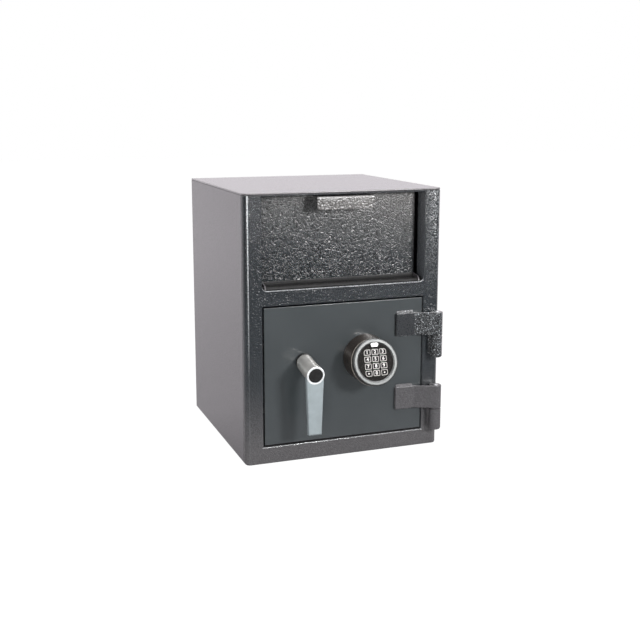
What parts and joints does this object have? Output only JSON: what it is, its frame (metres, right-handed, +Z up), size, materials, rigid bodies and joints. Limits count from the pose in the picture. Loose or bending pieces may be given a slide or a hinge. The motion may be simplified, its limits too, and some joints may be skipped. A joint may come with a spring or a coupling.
{
  "type": "drop safe",
  "caption": "Free-standing steel drop safe: tilting deposit hopper above a hinged cash door with a lever handle and a round push-button keypad lock.",
  "frame": {"origin": "middle of the underside of the safe's body, where it stands on the floor", "axes": "+Z up, -Y the front with the hopper, door and lock, +X to the right seen from the front (the hinge side)"},
  "size_m": [0.35, 0.4118, 0.45],
  "materials": {
    "hammered_paint": "hammered grey enamel, semi-gloss",
    "satin_paint": "smooth satin grey enamel",
    "zinc_steel": "zinc plated",
    "satin_chrome": "satin plated",
    "black_plastic": "fine texture",
    "dark_housing": "dark bronze, satin",
    "green_board": "solder resist",
    "brass": "machined"
  },
  "bodies": {
    "safe": {"front_frame": "hammered_paint", "body_wrap": "hammered_paint", "top_panel": "hammered_paint", "back_panel": "hammered_paint", "chute_apron": "hammered_paint", "rear_deflector": "hammered_paint", "top_baffle": "hammered_paint", "hopper_stop": "hammered_paint", "hopper_pivot_rod": "zinc_steel", "hinge_knuckle_upper": "hammered_paint", "hinge_knuckle_lower": "hammered_paint", "hinge_pin_upper": "zinc_steel", "hinge_pin_lower": "zinc_steel", "fixing_plug_left": "black_plastic", "fixing_plug_right": "black_plastic"},
    "hopper": {"hopper_face": "hammered_paint", "hopper_lip": "hammered_paint", "hopper_side_left": "hammered_paint", "hopper_side_right": "hammered_paint", "hopper_floor": "hammered_paint"},
    "door": {"door_plate": "satin_paint", "door_pan": "hammered_paint", "pan_screw_1": "zinc_steel", "pan_screw_2": "zinc_steel", "pan_screw_3": "zinc_steel", "pan_screw_4": "zinc_steel", "hinge_strap_upper": "hammered_paint", "hinge_strap_lower": "hammered_paint", "dead_bar": "zinc_steel", "bolt_guide": "zinc_steel", "spindle_bush": "brass", "lock_case": "zinc_steel", "lock_cable": "black_plastic", "keypad_housing": "dark_housing", "keypad_bezel": "satin_chrome", "keypad_plate": "black_plastic", "keypad_tab": "satin_chrome", "keypad_board": "green_board", "battery": "black_plastic"},
    "handle": {"lever_handle": "satin_chrome", "handle_cap": "black_plastic", "handle_spindle": "zinc_steel", "crank": "zinc_steel"},
    "boltwork": {"bolt_carriage": "zinc_steel", "locking_bolt_upper": "satin_chrome", "locking_bolt_lower": "satin_chrome"},
    "deadlock": {"lock_bolt": "brass"},
    "press_1": {"key_1": "black_plastic"},
    "press_2": {"key_2": "black_plastic"},
    "press_3": {"key_3": "black_plastic"},
    "press_4": {"key_4": "black_plastic"},
    "press_5": {"key_5": "black_plastic"},
    "press_6": {"key_6": "black_plastic"},
    "press_7": {"key_7": "black_plastic"},
    "press_8": {"key_8": "black_plastic"},
    "press_9": {"key_9": "black_plastic"},
    "press_0": {"key_0": "black_plastic"},
    "press_left": {"key_left": "black_plastic"},
    "press_right": {"key_right": "black_plastic"}
  },
  "joints": [
    {"name": "door_hinge", "type": "hinge", "parent": "safe", "child": "door", "pos_m": [0.1645, -0.1858, 0.15], "axis": [0, 0, 1], "range_deg": [0, 110]},
    {"name": "handle_turn", "type": "hinge", "parent": "door", "child": "handle", "pos_m": [-0.074, -0.175, 0.17], "axis": [0, 1, 0], "range_deg": [0, 80]},
    {"name": "boltwork_slide", "type": "slide", "parent": "door", "child": "boltwork", "axis": [-1, 0, 0], "range_m": [0, 0.018]},
    {"name": "lock_bolt_slide", "type": "slide", "parent": "door", "child": "deadlock", "axis": [-1, 0, 0], "range_m": [0, 0.015]},
    {"name": "hopper_tilt", "type": "hinge", "parent": "safe", "child": "hopper", "pos_m": [0, -0.161, 0.292], "axis": [1, 0, 0], "range_deg": [0, 50]},
    {"name": "key_1_press", "type": "slide", "parent": "door", "child": "press_1", "axis": [0, 0.9659, -0.2588], "range_m": [0, 0.001], "stiffness_N_per_m": 800, "springref_m": -0.0004},
    {"name": "key_2_press", "type": "slide", "parent": "door", "child": "press_2", "axis": [0, 0.9659, -0.2588], "range_m": [0, 0.001], "stiffness_N_per_m": 800, "springref_m": -0.0004},
    {"name": "key_3_press", "type": "slide", "parent": "door", "child": "press_3", "axis": [0, 0.9659, -0.2588], "range_m": [0, 0.001], "stiffness_N_per_m": 800, "springref_m": -0.0004},
    {"name": "key_4_press", "type": "slide", "parent": "door", "child": "press_4", "axis": [0, 0.9659, -0.2588], "range_m": [0, 0.001], "stiffness_N_per_m": 800, "springref_m": -0.0004},
    {"name": "key_5_press", "type": "slide", "parent": "door", "child": "press_5", "axis": [0, 0.9659, -0.2588], "range_m": [0, 0.001], "stiffness_N_per_m": 800, "springref_m": -0.0004},
    {"name": "key_6_press", "type": "slide", "parent": "door", "child": "press_6", "axis": [0, 0.9659, -0.2588], "range_m": [0, 0.001], "stiffness_N_per_m": 800, "springref_m": -0.0004},
    {"name": "key_7_press", "type": "slide", "parent": "door", "child": "press_7", "axis": [0, 0.9659, -0.2588], "range_m": [0, 0.001], "stiffness_N_per_m": 800, "springref_m": -0.0004},
    {"name": "key_8_press", "type": "slide", "parent": "door", "child": "press_8", "axis": [0, 0.9659, -0.2588], "range_m": [0, 0.001], "stiffness_N_per_m": 800, "springref_m": -0.0004},
    {"name": "key_9_press", "type": "slide", "parent": "door", "child": "press_9", "axis": [0, 0.9659, -0.2588], "range_m": [0, 0.001], "stiffness_N_per_m": 800, "springref_m": -0.0004},
    {"name": "key_0_press", "type": "slide", "parent": "door", "child": "press_0", "axis": [0, 0.9659, -0.2588], "range_m": [0, 0.001], "stiffness_N_per_m": 800, "springref_m": -0.0004},
    {"name": "key_left_press", "type": "slide", "parent": "door", "child": "press_left", "axis": [0, 0.9659, -0.2588], "range_m": [0, 0.001], "stiffness_N_per_m": 800, "springref_m": -0.0004},
    {"name": "key_right_press", "type": "slide", "parent": "door", "child": "press_right", "axis": [0, 0.9659, -0.2588], "range_m": [0, 0.001], "stiffness_N_per_m": 800, "springref_m": -0.0004}
  ],
  "couplings": [
    {"joint": "boltwork_slide", "follows": "handle_turn", "m_per_rad": 0.01289},
    {"joint": "lock_bolt_slide", "follows": "handle_turn", "m_per_rad": 0.010742}
  ]
}
